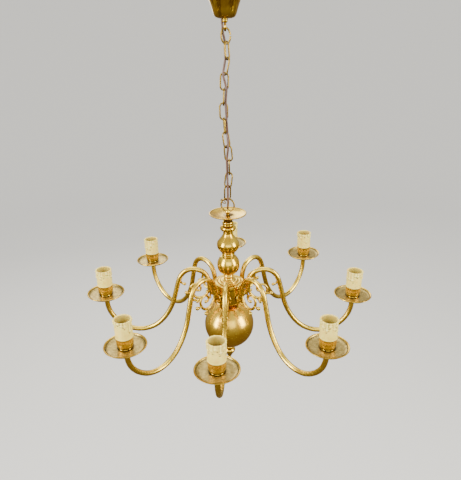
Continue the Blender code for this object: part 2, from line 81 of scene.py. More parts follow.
def smoothRoute(route, spacing, isLoop=False):
    # one smooth curve through the route's own points
    route = [Vector(point) for point in route]
    count = len(route)
    leanings = []
    for i, here in enumerate(route):
        before = route[i - 1] if i or isLoop else here
        after = route[(i + 1) % count] if i < count - 1 or isLoop else here
        leanings.append((after - before) / max((after - here).length + (here - before).length, 1e-9))
    points = [route[0]]
    for i in range(count if isLoop else count - 1):
        start, end = route[i], route[(i + 1) % count]
        reach = (end - start).length / 3
        steps = max(1, round((end - start).length / spacing)) + 1
        handles = (start + leanings[i] * reach, end - leanings[(i + 1) % count] * reach)
        points += interpolate_bezier(start, *handles, end, steps)[1:]
    return points[:-1] if isLoop else points


def outlineOf(points, spacing=0.7):
    # radius and height pairs; a third value marks a crisp edge, and the rest is one flowing line
    made, stretch = [], []
    for point in points:
        stretch.append(Vector((point[0], point[1], 0)))
        if len(point) > 2 and len(stretch) > 1:
            made += smoothRoute(stretch, spacing)[:-1]
            stretch = stretch[-1:]
    made += smoothRoute(stretch, spacing) if len(stretch) > 1 else stretch
    return [(max(point.x, 0.0), point.y) for point in made]


def addTurned(work, outline, sides, isRing=False, place=None, swell=None, material=0):
    # turns an outline about Z; swell(angle, height, radius) says how far to push a point out
    place = place or Matrix.Identity(4)
    rings = []
    for radius, height in outline:
        ring = []
        for i in range(sides if radius > 1e-6 else 1):
            angle = 2 * math.pi * i / sides
            reach = radius + (swell(angle, height, radius) if swell and radius > 1e-6 else 0)
            spot = Vector((reach * math.cos(angle), reach * math.sin(angle), height)) * mm
            ring.append(work.verts.new(place @ spot))
        rings.append(ring)
    pairs = list(zip(rings, rings[1:])) + ([(rings[-1], rings[0])] if isRing else [])
    for above, below in pairs:
        for i in range(sides):
            j = (i + 1) % sides
            corners = [above[i % len(above)], below[i % len(below)]]
            corners += [below[j % len(below)], above[j % len(above)]]
            corners = list(dict.fromkeys(corners))  # a tip is one point, so its faces have three corners
            if len(corners) > 2:
                work.faces.new(corners).material_index = material
    if not isRing:
        for ring in (rings[0], rings[-1]):
            if len(ring) > 2:
                work.faces.new(ring).material_index = material
    return rings


def addTube(work, points, radius, sides, isLoop=False, material=0):
    # sweeps a round section along points; radius is one value or one for each point
    count = len(points)
    radii = radius if isinstance(radius, (list, tuple)) else [radius] * count
    across = None
    rings = []
    for i, here in enumerate(points):
        before = points[i - 1] if i or isLoop else here
        after = points[(i + 1) % count] if i < count - 1 or isLoop else here
        along = (after - before).normalized()
        across = along.orthogonal() if across is None else across - along * across.dot(along)
        across.normalize()
        other = along.cross(across)
        ring = []
        for k in range(sides):
            angle = 2 * math.pi * k / sides
            spot = here + (across * math.cos(angle) + other * math.sin(angle)) * radii[i]
            ring.append(work.verts.new(spot * mm))
        rings.append(ring)
    shift = 0
    if isLoop:  # the section may come home turned, so the last ring joins the nearest corners
        gaps = [(rings[-1][0].co - corner.co).length for corner in rings[0]]
        shift = gaps.index(min(gaps))
    pairs = [(rings[i], rings[i + 1], 0) for i in range(count - 1)]
    if isLoop:
        pairs.append((rings[-1], rings[0], shift))
    for first, second, turn in pairs:
        for k in range(sides):
            n = (k + 1) % sides
            face = (first[k], first[n], second[(n + turn) % sides], second[(k + turn) % sides])
            work.faces.new(face).material_index = material
    if not isLoop:
        work.faces.new(rings[0]).material_index = material
        work.faces.new(rings[-1]).material_index = material


def finishMesh(name, work, materials, crisp=38):
    bmesh.ops.recalc_face_normals(work, faces=work.faces)
    mesh = bpy.data.meshes.new(name)
    work.to_mesh(mesh)
    work.free()
    mesh.shade_smooth()
    mesh.set_sharp_from_angle(angle=math.radians(crisp))
    for material in materials:
        mesh.materials.append(material)
    return mesh


def placePiece(name, mesh, place=None):
    piece = bpy.data.objects.new(name, mesh)
    bpy.context.scene.collection.objects.link(piece)
    piece.matrix_world = place or Matrix.Identity(4)
    return piece


def finishPiece(name, work, materials, place=None, crisp=38):
    return placePiece(name, finishMesh(name, work, materials, crisp), place)


def turnPiece(name, outline, sides, materials, isRing=False, place=None, crisp=38):
    work = bmesh.new()
    addTurned(work, outline, sides, isRing)
    return finishPiece(name, work, materials, place, crisp)


def roundTurns(count):
    return [2 * math.pi * i / count for i in range(count)]


def fit(piece, body, slot, *nodes):
    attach(piece, body)
    if nodes:
        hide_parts(*nodes)
    return piece


# materials: one function adds every node, and the code beside it says what the node is for

def colour(text):
    # sRGB hex to the linear values that the shader takes
    channels = [int(text[i:i + 2], 16) / 255 for i in (1, 3, 5)]
    return (*[c / 12.92 if c <= 0.04045 else ((c + 0.055) / 1.055) ** 2.4 for c in channels], 1.0)


def every(size):
    # a pattern's scale from the real size of one mark in millimetres
    return 1 / (size * mm)


def addNode(tree, kind, inputs, output=0, **settings):
    # adds a node, sets or links its inputs, and hands back the output asked for
    node = tree.nodes.new("ShaderNode" + kind)
    for key, value in settings.items():
        setattr(node, key, value)
    for key, value in inputs.items():
        if isinstance(value, bpy.types.NodeSocket):
            tree.links.new(value, node.inputs[key])
        else:
            node.inputs[key].default_value = value
    return node.outputs[output]


def startMaterial(name, facts):
    material = bpy.data.materials.new(name)
    material.use_nodes = True
    tree = material.node_tree
    shader = tree.nodes["Principled BSDF"]
    for socket, value in facts.items():
        shader.inputs[socket].default_value = value
    place = tree.nodes.new("ShaderNodeTexCoord").outputs["Object"]
    return material, tree, shader, place


def patches(tree, place, size, detail, roughness, start, end, low=0.0, high=1.0, warp=0.0):
    # cloudy patches of a real size: low where there is none, high where it is full
    cloud = addNode(tree, "TexNoise", {
        "Vector": place, "Scale": every(size), "Detail": detail, "Roughness": roughness, "Distortion": warp,
    })
    return addNode(tree, "MapRange", {
        "Value": cloud, "From Min": start, "From Max": end, "To Min": low, "To Max": high,
    })


def relief(tree, place, size, detail, roughness, depth, strength, under=None):
    # the same sort of cloud as a relief of a real depth, on top of any relief under it
    cloud = addNode(tree, "TexNoise", {
        "Vector": place, "Scale": every(size), "Detail": detail, "Roughness": roughness,
    })
    facts = {"Height": cloud, "Distance": depth * mm, "Strength": strength}
    if under:
        facts["Normal"] = under
    return addNode(tree, "Bump", facts)


def finishMaterial(tree, shader, base, layers, rough, normal):
    # each layer's tint lies over the ones before it, as much as its factor says
    base = colour(base)
    for factor, tint in layers:
        base = addNode(tree, "Mix", {0: factor, 6: base, 7: colour(tint)}, 2, data_type="RGBA")
    tree.links.new(base, shader.inputs["Base Color"])
    tree.links.new(rough, shader.inputs["Roughness"])
    tree.links.new(normal, shader.inputs["Normal"])


def grimeAndShade(tree, reach, low, high, most=1.0):
    # dried polish and soot, with painted shade, where the surface is boxed in by its neighbours: ambient
    # occlusion darkens the colour there
    shade = addNode(tree, "AmbientOcclusion", {"Distance": reach * mm}, "AO", samples=6)
    return addNode(tree, "MapRange", {
        "Value": shade, "From Min": low, "From Max": high, "To Min": most, "To Max": 0.0,
    })


# the lacquered brass of one old fitting, from bright to dull: two tones of the metal, the amber painted shade
# of its undersides and painted reflection bands, the grime and painted shade in its corners, least and most
# roughness, and the size of a patch of tarnish
brassFacts = {
    "polished": {
        "bright": "#F6D44A", "deep": "#DCAE34", "shade": "#85601A", "stain_and_shade": "#3E280A",
        "rough": (0.13, 0.24), "tarnish": 22,
    },
    "drawn": {
        "bright": "#FADA56", "deep": "#E6BC42", "shade": "#A07624", "stain_and_shade": "#46300E",
        "rough": (0.20, 0.32), "tarnish": 26,
    },
    "satin": {
        "bright": "#FAD452", "deep": "#E4B23E", "shade": "#A8701C", "stain_and_shade": "#4A2F0E",
        "rough": (0.19, 0.29), "tarnish": 34,
    },
    "gilt": {
        "bright": "#EEC848", "deep": "#D2A63A", "shade": "#A07A2C", "stain_and_shade": "#5E3E0C",
        "rough": (0.18, 0.30), "tarnish": 9,
    },
    "aged": {
        "bright": "#C4AE68", "deep": "#8E7842", "shade": "#7A6434", "stain_and_shade": "#30240F",
        "rough": (0.34, 0.50), "tarnish": 4.5,
    },
    "chain": {
        "bright": "#B99A44", "deep": "#7C6229", "shade": "#6A501E", "stain_and_shade": "#3A280F",
        "rough": (0.22, 0.36), "tarnish": 12,
    },
}
rubbedMetal = {"tint": "#F2D58C", "rough": 0.14}
feedLine = 0.9  # lathe feed lines are 0.35 mm apart in the metal, and drawn this far apart so that they show
waveTurn = 0.314  # metres from wave to wave, 2 pi / 20, at a scale of 1


def brass(name, kind, turnedMarks=0.0, wear=False, marks=False, bands=False):
    # warm mirrored light on every brass, drifting from yellow to amber and dull where grime has settled, with
    # painted shade on its undersides and in its crevices
    facts = brassFacts[kind]
    material, tree, shader, place = startMaterial(name, {"Metallic": 1.0, "Roughness": facts["rough"][0]})
    blush = patches(tree, place, facts["tarnish"], 4.0, 0.6, 0.38, 0.66, warp=0.6)  # yellow drifting to amber
    specks = patches(tree, place, 1.6, 2.0, 0.7, 0.60, 0.78, high=0.55)  # pin-head spots in the lacquer
    leaning = tree.nodes["Texture Coordinate"].outputs["Normal"]
    down = addNode(tree, "SeparateXYZ", {"Vector": leaning}, "Z")  # painted shade: faces that point down take the darker amber shade colour
    down = addNode(tree, "MapRange", {"Value": down, "From Min": 0.05, "From Max": -0.8, "To Max": 0.75})
    layers = [(blush, facts["deep"]), (specks, facts["deep"]), (down, facts["shade"])]
    if bands:  # painted reflections: dark upright bands down the bell, in the shade colour
        upright = addNode(tree, "Mapping", {"Vector": place, "Scale": (1.0, 1.0, 0.06)})
        layers.append((patches(tree, upright, 9.0, 2.0, 0.5, 0.46, 0.60, high=0.85), facts["shade"]))
    if marks:  # a painted shadow round the cup's foot, painted shade under the pan and round the disc's middle, and dried polish with painted shade in the grooves
        layers.append((addNode(tree, "Attribute", {}, "Fac", attribute_name="polish_and_shade"), facts["stain_and_shade"]))
    # grime and painted shade in the crevices, from ambient occlusion
    layers.append((grimeAndShade(tree, 5.0, 0.25, 0.85, 0.8), facts["stain_and_shade"]))
    # smears left by the wiping cloth and by fingers
    rough = patches(tree, place, 7.0, 5.0, 0.6, 0.35, 0.7, *facts["rough"], warp=1.2)
    if wear:  # bright rubbed metal where one piece bears on the next
        rubbed = addNode(tree, "Attribute", {}, "Fac", attribute_name="rubbed")
        layers.append((rubbed, rubbedMetal["tint"]))
        rough = addNode(tree, "Mix", {0: rubbed, 2: rough, 3: rubbedMetal["rough"]}, data_type="FLOAT")
    normal = relief(tree, place, 11.0, 2.0, 0.5, 0.22, 0.5)  # faint waviness that bends the reflections
    upright = addNode(tree, "Mapping", {"Vector": place, "Scale": (1.0, 1.0, 0.16)})
    # polish lines, drawn coarser than real ones so that they show
    normal = relief(tree, upright, 0.9, 3.0, 0.6, 0.012, 0.5, normal)
    if turnedMarks:
        rings = addNode(tree, "TexWave", {
            "Vector": place, "Scale": waveTurn * every(feedLine), "Distortion": 0.8, "Detail": 1.0,
        }, "Fac", bands_direction="Z")
        normal = addNode(tree, "Bump", {
            "Height": rings, "Distance": turnedMarks * mm, "Strength": 0.6, "Normal": normal,
        })
    finishMaterial(tree, shader, facts["bright"], layers, rough, normal)
    return material


def candleCard():
    # wax-dipped card tube: ivory, faintly translucent, paler where the wax is thick with a painted highlight
    # on the crests of the runs, dust and painted shade in its hollows
    facts = {
        "IOR": 1.44, "Subsurface Weight": 0.12, "Subsurface Scale": 0.002,
        "Coat Weight": 0.12, "Coat Roughness": 0.35,
    }
    material, tree, shader, place = startMaterial("wax_dipped_card", facts)
    cloudy = patches(tree, place, 9.0, 4.0, 0.6, 0.35, 0.7)
    fleck = patches(tree, place, 1.1, 2.0, 0.5, 0.62, 0.75, high=0.5)  # dust caught in the wax
    wax = addNode(tree, "Attribute", {}, "Fac", attribute_name="wax")
    # thick wax is paler, and the crests of the runs get a painted highlight
    thick = addNode(tree, "MapRange", {"Value": wax, "From Min": 0.15, "From Max": 0.9, "To Max": 0.9})
    # dust and painted shade in the hollows and beside the runs
    dustAndShade = addNode(tree, "MapRange", {"Value": wax, "From Max": -0.35, "To Max": 0.9})
    layers = [
        (cloudy, "#E8CB58"), (fleck, "#C2A862"), (thick, "#FFEE92"), (dustAndShade, "#7C6628"),
        # grime and painted shade in the crevices, from ambient occlusion
        (grimeAndShade(tree, 2.5, 0.25, 0.8, 0.85), "#857034"),
    ]
    rough = addNode(tree, "MapRange", {"Value": cloudy, "To Min": 0.40, "To Max": 0.58})
    finishMaterial(tree, shader, "#FAE278", layers, rough, relief(tree, place, 2.4, 3.0, 0.6, 0.09, 0.8))
    return material


def mouldedHolder():
    # old urea moulding: olive tan with a low sheen, browned and dulled by the lamp's heat
    material, tree, shader, place = startMaterial("heat_dulled_moulding", {"IOR": 1.55})
    baked = patches(tree, place, 5.0, 3.0, 0.55, 0.35, 0.7)
    # the second layer is grime and painted shade in the crevices, from ambient occlusion
    layers = [(baked, "#7A6638"), (grimeAndShade(tree, 4.0, 0.2, 0.8), "#3A2E18")]
    rough = addNode(tree, "MapRange", {"Value": baked, "To Min": 0.42, "To Max": 0.62})
    finishMaterial(tree, shader, "#A8935C", layers, rough, relief(tree, place, 0.8, 3.0, 0.55, 0.04, 0.6))
    return material


def leadSheath():
    # extruded PVC flex: mauve brown, with the slight snaking gloss that extrusion leaves
    material, tree, shader, place = startMaterial("pvc_flex_sheath", {"IOR": 1.53, "Coat Weight": 0.15})
    faded = patches(tree, place, 14.0, 3.0, 0.55, 0.35, 0.7)
    # the second layer is grime and painted shade in the crevices, from ambient occlusion
    layers = [(faded, "#533629"), (grimeAndShade(tree, 3.0, 0.2, 0.8), "#35231A")]
    rough = addNode(tree, "MapRange", {"Value": faded, "To Min": 0.30, "To Max": 0.42})
    upright = addNode(tree, "Mapping", {"Vector": place, "Scale": (1.0, 1.0, 0.3)})
    finishMaterial(tree, shader, "#6B4A39", layers, rough, relief(tree, upright, 2.2, 2.0, 0.55, 0.05, 0.6))
    return material


def zincPlate():
    # bright zinc on pressed steel: blue-grey spangle under a little grime and painted shade in its crevices
    material, tree, shader, place = startMaterial("zinc_plated_steel", {"Metallic": 1.0})
    spangle = addNode(tree, "TexVoronoi", {"Vector": place, "Scale": every(2.5)}, "Color")
    tone = addNode(tree, "SeparateColor", {"Color": spangle}, "Red")
    layers = [(tone, "#C6C9CB"), (grimeAndShade(tree, 4.0, 0.2, 0.8), "#5C5A54")]
    rough = addNode(tree, "MapRange", {"Value": tone, "To Min": 0.32, "To Max": 0.46})
    finishMaterial(tree, shader, "#A9ACAE", layers, rough, relief(tree, place, 0.7, 3.0, 0.55, 0.02, 0.5))
    return material


polished = brass("polished_brass", "polished")  # buffed castings: crisp lights between dark edges
turned = brass("lathe_turned_brass", "polished", 0.02)  # the same metal with fine rings from the lathe
drawn = brass("drawn_tube_brass", "drawn")  # bent tube: one long lemon light along each arm
satin = brass("buffed_spun_brass", "satin", 0.012, marks=True)  # spun sheet: soft broad glow
aged = brass("dulled_pan_brass", "aged", 0.02, marks=True)  # bare brass gone beige and brown, hardly mirrored
bellBrass = brass("banded_reflection_brass", "polished", 0.02, bands=True)  # painted reflections: dark amber upright bands on the bright metal
chainBrass = brass("brass_plated_wire", "chain", wear=True)  # dim bronze wire, bright where links rub
cupBrass = brass("lacquered_gilding_metal", "gilt", 0.015)  # redder gold that stands out from its pan
card = candleCard()
moulding = mouldedHolder()
sheath = leadSheath()
zinc = zincPlate()
print("materials made")


# the ceiling set: strap, canopy and the loop that the chain hangs on

strap = {
    "length": 84, "width": 16, "thick": 2.5, "corner": 5, "soften": 0.35, "hole": 2.5, "spacing": 60,
    "boss": 7, "depth": 12, "bore": 3.9, "thread": 0.3, "halfPitch": 0.5,
}
canopy = {
    "height": 85, "radius": 50, "wall": 1.1, "ceilingGap": 0.8, "leadHole": (-5.5, 6.0), "leadRadius": 2.6,
}
loop = {"stem": 3.5, "top": -4.5, "collar": 4.75, "collarHeight": 6, "radius": 5, "wire": 2, "clearance": 0.3}


def cutFrom(piece, cutter):
    # takes the cutter out of the piece's mesh, then removes the cutter
    step = piece.modifiers.new("cut", "BOOLEAN")
    step.solver = "EXACT"
    step.operation = "DIFFERENCE"
    step.object = cutter
    bpy.context.view_layer.update()
    evaluated = piece.evaluated_get(bpy.context.evaluated_depsgraph_get())
    mesh = bpy.data.meshes.new_from_object(evaluated)
    piece.modifiers.clear()
    piece.data = mesh
    mesh.set_sharp_from_angle(angle=math.radians(38))
    bpy.data.objects.remove(cutter)


def drill(place, direction, radius, length):
    work = bmesh.new()
    turn = Vector(direction).to_track_quat("Z", "X").to_matrix().to_4x4()
    rod = [(0, length / 2), (radius, length / 2), (radius, -length / 2), (0, -length / 2)]
    addTurned(work, rod, 32, place=Matrix.Translation(Vector(place) * mm) @ turn)
    return finishPiece("drill", work, [])


def makeStrap():
    work = bmesh.new()
    size = Vector((strap["length"], strap["width"], strap["thick"])) * mm
    middle = Matrix.Translation((0, 0, -strap["thick"] / 2 * mm)) @ Matrix.Diagonal((*size, 1))
    bmesh.ops.create_cube(work, size=1, matrix=middle)
    uprights = [edge for edge in work.edges if abs(edge.verts[0].co.z - edge.verts[1].co.z) > size.z / 2]
    bmesh.ops.bevel(work, geom=uprights, offset=strap["corner"] * mm, segments=8, affect="EDGES", profile=0.5)
    bar = finishPiece("ceiling_strap", work, [zinc])
    for x in (-strap["spacing"] / 2, strap["spacing"] / 2):
        cutFrom(bar, drill((x, 0, 0), up, strap["hole"], 4 * strap["thick"]))
    softened = bar.modifiers.new("softened edges", "BEVEL")
    softened.width = strap["soften"] * mm
    softened.segments = 2
    softened.limit_method = "ANGLE"
    fit(bar, "ceiling_set", "zinc_steel", "crossbar")
    top, foot = -strap["thick"] - 0.1, -strap["thick"] - strap["depth"]
    chamfer = 0.6
    thread = []
    for i in range(21):
        thread.append((strap["bore"] + i % 2 * strap["thread"], foot + chamfer + i * strap["halfPitch"]))
    outside = [(strap["boss"], top), (strap["boss"], foot + chamfer), (strap["boss"] - chamfer, foot)]
    boss = turnPiece("threaded_boss", [*outside, *thread, (strap["bore"], top)], 48, [zinc], True)
    fit(boss, "ceiling_set", "zinc_steel")


def makeCanopy():
    height, radius, wall = canopy["height"], canopy["radius"], canopy["wall"]
    lip = -canopy["ceilingGap"]
    bore = loop["stem"] + 0.6
    outside = outlineOf([
        (radius - wall, lip, 1), (radius, lip - 0.6), (radius, -3.2), (radius - 0.8, -4.4, 1),
        (radius - 1.6, -5.2), (radius * 0.93, -height * 0.09), (radius * 0.88, -height * 0.14),
        (radius * 0.79, -height * 0.24), (radius * 0.71, -height * 0.36), (radius * 0.56, -height * 0.62),
        (radius * 0.45, -height * 0.80), (radius * 0.385, -height * 0.92),
        (radius * 0.325, -height * 0.975), (radius * 0.22, -height, 1), (bore, -height, 1),
    ], 1.2)
    inside = []
    for i in range(len(outside) - 2, 0, -1):
        along = (Vector(outside[i + 1]) - Vector(outside[i - 1])).normalized()
        inside.append((outside[i][0] + along.y * wall, outside[i][1] - along.x * wall))
    inside = [point for point in inside if point[0] > bore and point[1] < lip - 0.3]
    outline = [*outside, (bore, wall - height), *inside, (radius - wall - 0.2, lip - 0.3)]
    shell = turnPiece("spun_canopy", outline, 96, [bellBrass], True)
    cutFrom(shell, drill((*canopy["leadHole"], -height), up, canopy["leadRadius"], 24))
    fit(shell, "ceiling_set", "polished_brass", "canopy")


def makeLoop():
    foot = -canopy["height"] - loop["clearance"]
    stem, top, collar = loop["stem"], loop["top"], loop["collar"]
    outline = outlineOf([
        (0, top, 1), (stem, top, 1), (stem, foot, 1), (collar, foot, 1), (collar + 0.15, foot - 1.4),
        (collar - 0.5, foot - 2.2, 1), (collar - 0.1, foot - 3.0), (collar - 0.3, foot - 4.4),
        (collar - 1.6, foot - 6.0), (2.0, foot - 6.4, 1), (0, foot - 6.4),
    ])
    work = bmesh.new()
    addTurned(work, outline, 48)
    centre = foot - loop["collarHeight"] - loop["radius"] - 1.6
    ring = [Vector((0, math.cos(a), math.sin(a))) * loop["radius"] + up * centre for a in roundTurns(40)]
    addTube(work, ring, loop["wire"], 20, True)
    fit(finishPiece("canopy_hanging_loop", work, [polished]), "ceiling_set", "polished_brass", "canopy_loop")


makeStrap()
makeCanopy()
makeLoop()
print("ceiling set made")


# the chain, with its hanging ring and the small keeper ring

link = {
    "half": 6.75, "wire": 1.5, "gap": 0.6, "slit": 0.35,
    "openHalf": 7.7, "openWire": 1.6, "openGap": 0.3, "openSlit": 1.4,
    "ringWire": 1.6, "keeperWire": 1.0, "keeperRadius": 5.5,
}
linkNames = ["top_link"] + [f"link_{i:02d}" for i in range(1, 12)]


def jointAt(name):
    joint = joints[name + "_swing"]
    return Vector(joint["pos_m"]) / mm, Vector(joint["axis"])


def chainPlan():
    # each link's top and foot wire centres and the way across it, all from the joints
    plan = []
    for name, after in zip(linkNames, [*linkNames[1:], "ring"]):
        contact = jointAt(name)[0]
        foot, across = jointAt(after)
        rise = 2 * link["wire"] + link["gap"]
        if name == "top_link":
            rise = loop["wire"] + link["openWire"] + link["openGap"]
        elif name == "link_01":
            rise = link["openWire"] + link["wire"] + link["gap"]
        plan.append((name, contact + up * rise, foot, across))
    return plan


plan = chainPlan()


def rubbedAt(piece, spots, reach):
    # marks how near each point is to where the piece is rubbed bright
    marks = piece.data.attributes.new("rubbed", "FLOAT", "POINT")
    for vertex, mark in zip(piece.data.vertices, marks.data):
        near = min((vertex.co - Vector(spot) * mm).length for spot in spots)
        mark.value = max(0.0, 1 - near / (reach * mm)) ** 1.5


def openRoute(middle, across, rise):
    # an oval, cut open half way down one side
    half, slit, count = link["openHalf"], link["openSlit"], 56
    route = [middle + across * half * math.sin(a) + rise * math.cos(a) for a in roundTurns(count)]
    route = route[count // 4:] + route[:count // 4]
    side = middle + across * half
    upward = rise.normalized()
    return [side - upward * slit / 2, *route[1:], side + upward * slit / 2]


def closedRoute(middle, across, rise, top, foot):
    # two round ends and straight sides; the wire meets itself half way down one side
    half, slit = link["half"], link["slit"]
    upward = rise.normalized()
    bend = [math.pi * i / 18 for i in range(19)]
    over = [top + across * half * math.cos(a) + upward * half * (math.sin(a) - 1) for a in bend]
    under = [foot - across * half * math.cos(a) - upward * half * (math.sin(a) - 1) for a in bend]
    side = middle + across * half
    return [side + upward * slit / 2, *over, *under, side - upward * slit / 2]


def makeLinks():
    for name, top, foot, across in plan:
        middle, rise = (top + foot) / 2, (top - foot) / 2
        if name == "top_link":
            route, wire = openRoute(middle, across, rise), link["openWire"]
        else:
            route, wire = closedRoute(middle, across, rise, top, foot), link["wire"]
        work = bmesh.new()
        addTube(work, route, wire, 16)
        piece = finishPiece("chain_" + name, work, [chainBrass])
        upward = rise.normalized()
        rubbedAt(piece, [top - upward * wire, foot + upward * wire], 4.2)
        fit(piece, name, "chain_brass", name)


def ringFacts():
    low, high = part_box("ring")
    centre = (low + high) / 2 / mm
    radius = (high.z - low.z) / 2 / mm - link["ringWire"]
    across = jointAt("lamp")[1]
    return centre, radius, across


def makeRings():
    centre, radius, across = ringFacts()
    route = [centre + (across * math.cos(a) + up * math.sin(a)) * radius for a in roundTurns(72)]
    work = bmesh.new()
    addTube(work, route, link["ringWire"], 16, True)
    piece = finishPiece("hanging_ring", work, [chainBrass])
    rubbedAt(piece, [centre + up * radius, centre - up * (radius - link["ringWire"])], 5)
    fit(piece, "ring", "chain_brass", "ring")
    onWire, axis = jointAt("keeper")
    low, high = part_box("keeper_ring")
    middle = (low + high) / 2 / mm
    outward = (onWire - middle).normalized()
    through = up.cross(across).normalized()
    radius = link["keeperRadius"]
    route = [middle + (outward * math.cos(a) + through * math.sin(a)) * radius for a in roundTurns(44)]
    work = bmesh.new()
    addTube(work, route, link["keeperWire"], 12, True)
    piece = finishPiece("keeper_small_ring", work, [chainBrass])
    rubbedAt(piece, [onWire], 3)
    fit(piece, "keeper", "chain_brass", "keeper_ring")


makeLinks()
makeRings()
print("chain made")


# the lead threaded down the chain

lead = {
    "radius": 2.0, "offset": 4.0, "columnHole": 6.6, "eyeAbovePlate": 154.8,
    "sides": (1, 1, -1, -1, -1, -1, -1, -1, -1, 1, -1, -1, -1),
    "fromCanopy": ((-6.0, 5.0, 38.25), (-1.5, 1.0, 17.0), (0.0, 0.0, 6.0), (0.0, 0.0, -4.0)),
    "atOpenLink": ((-4.9, 4.3, 3.0), (-4.6, 4.3, -4.0)),
    "inRing": ((1.2, -3.2, 8.0), (0.6, 3.6, -2.0)),
    "atEye": ((0.0, 1.4, 4.0), (0.0, 1.4, -2.0), (0.0, 0.0, -6.0), (0.0, 0.0, -11.4)),
    "pastContact": (4.0, -0.6), "bendReach": 8,
}
plateFoot = 1.6
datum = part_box("arm_plate")[0].z / mm - plateFoot  # the height that every outline of the lamp starts from
lampPlace = Matrix.Translation((0, 0, datum * mm))


def sideOf(across, side):
    # seen from above, the line beside a link that the lead keeps to: a x + b y = c
    flat = Vector((across.x, across.y)).normalized()
    return -flat.y, flat.x, side * lead["offset"]


def crossing(first, second):
    # where the lines of two neighbours meet
    a, b, c = first
    d, e, f = second
    scale = a * e - b * d
    return Vector(((c * e - b * f) / scale, (a * f - c * d) / scale, 0.0))


def leadRoute():
    # the same points as the model's lead: beside each link's plane, then past ring and eye
    centre, _, ringAcross = ringFacts()
    canopyHole = Vector((*canopy["leadHole"], -canopy["height"]))
    columnHole = Vector((0, lead["columnHole"], datum + lead["eyeAbovePlate"]))
    route = [canopyHole + Vector(step) for step in lead["fromCanopy"]]
    route += [up * plan[0][1].z + Vector(step) for step in lead["atOpenLink"]]
    ways = [*(step[3] for step in plan), ringAcross]
    lines = [sideOf(across, side) for across, side in zip(ways, lead["sides"])]
    for step, first, second in zip(plan, lines, lines[1:]):
        beside = crossing(first, second)
        route += [step[2] + up * rise + beside for rise in lead["pastContact"]]
    route += [up * centre.z + Vector(step) for step in lead["inRing"]]
    route += [columnHole + Vector(step) for step in lead["atEye"]]
    return smoothRoute(route, 1.5)


def makeLead():
    # one section for each joint that it passes; neighbours meet half way between two joints
    route = leadRoute()
    bodies = ["ceiling_set", *linkNames, "ring", "lamp"]
    contacts = [jointAt(name)[0].z for name in bodies[1:]]
    cuts = [(high + low) / 2 for high, low in zip(contacts, contacts[1:])]
    edges = [math.inf, *cuts, -math.inf]
    first = 0
    for i, (above, below, contact) in enumerate(zip(bodies, bodies[1:], contacts)):
        last = max(k for k, point in enumerate(route) if edges[i + 1] <= point.z <= edges[i])
        work = bmesh.new()
        addTube(work, route[first:last + 1], lead["radius"], 14)
        piece = finishPiece(f"lead_section_{i + 1:02d}", work, [sheath])
        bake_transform(piece)
        if i == 0:
            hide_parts("flex")
        first = last


makeLead()
print("lead made")


# the turned column; outlines are radius and height pairs above the lamp's datum

rodBore = 4.3
columnOutlines = {
    "knop": (
        (rodBore, 136.0, 1), (8.8, 136.0, 1), (10.2, 135.2), (10.9, 133.4), (10.6, 131.2), (9.8, 129.6, 1),
        (10.4, 128.4), (13.0, 126.4), (15.0, 123.8), (15.3, 121.4), (14.4, 118.8), (11.8, 116.8),
        (9.2, 115.8, 1), (8.8, 114.6), (9.0, 113.3, 1), (rodBore, 113.3),
    ),
    "vase": (
        (rodBore, 113.0, 1), (9.4, 113.0, 1), (10.0, 112.4), (10.0, 111.4), (9.3, 110.6, 1), (10.2, 108.4),
        (12.4, 104.6), (15.6, 100.2), (19.2, 95.4), (21.8, 90.6), (22.3, 86.0), (21.0, 80.6), (17.8, 75.2),
        (14.0, 71.2), (11.8, 69.2, 1), (12.6, 68.4), (12.9, 67.2), (12.4, 66.0), (11.6, 65.3, 1),
        (rodBore, 65.3),
    ),
    "column_ball": (
        (rodBore, 65.0, 1), (12.0, 65.0, 1), (13.0, 64.2), (13.2, 63.2), (12.5, 62.4, 1), (14.6, 61.6),
        (15.6, 60.6, 1), (16.2, 60.3, 1), (18.0, 57.6), (18.6, 56.6, 1), (19.2, 56.2, 1), (21.6, 50.4),
        (22.6, 44.4), (22.3, 38.6), (20.4, 32.4), (16.4, 27.0), (12.0, 23.6), (9.6, 22.4, 1), (10.0, 21.4),
        (9.2, 20.3, 1), (rodBore, 20.3),
    ),
    "arm_plate": (
        (rodBore, 20.0, 1), (9.0, 20.0, 1), (9.8, 18.6), (9.8, 17.0), (9.0, 15.8, 1), (9.0, 13.4),
        (10.4, 11.4), (12.8, 10.6, 1), (13.2, 9.4, 1), (15.8, 9.0), (17.2, 9.3), (17.8, 8.6),
        (18.0, 7.4, 1), (21.4, 6.9), (23.2, 7.3), (23.8, 6.7), (24.0, 5.7, 1), (27.4, 5.3), (29.2, 5.9),
        (30.4, 5.7), (31.0, 4.6), (30.9, 3.2), (30.2, 2.1), (28.8, plateFoot, 1), (rodBore, plateFoot),
    ),
}
discBore, discFoot, discGroove = 3.3, 136.3, 33.4
topDisc = (
    (discBore, 149.4, 1), (12.0, 148.7), (24.0, 149.8), (32.2, 152.0), (33.6, 152.3, 1), (34.1, 153.0),
    (35.2, 153.2), (36.1, 152.6), (36.0, 151.6), (35.0, 150.8, 1), (30.0, 149.0), (20.0, 146.6),
    (12.4, 145.2), (10.6, 142.8), (10.4, 141.6, 1), (9.4, 140.8), (8.7, 138.6), (8.6, discFoot, 1),
    (discBore, discFoot),
)
eye = {"radius": 5.0, "stem": 3.0, "hole": 3.0, "shoulder": 150.0, "foot": 137.2}


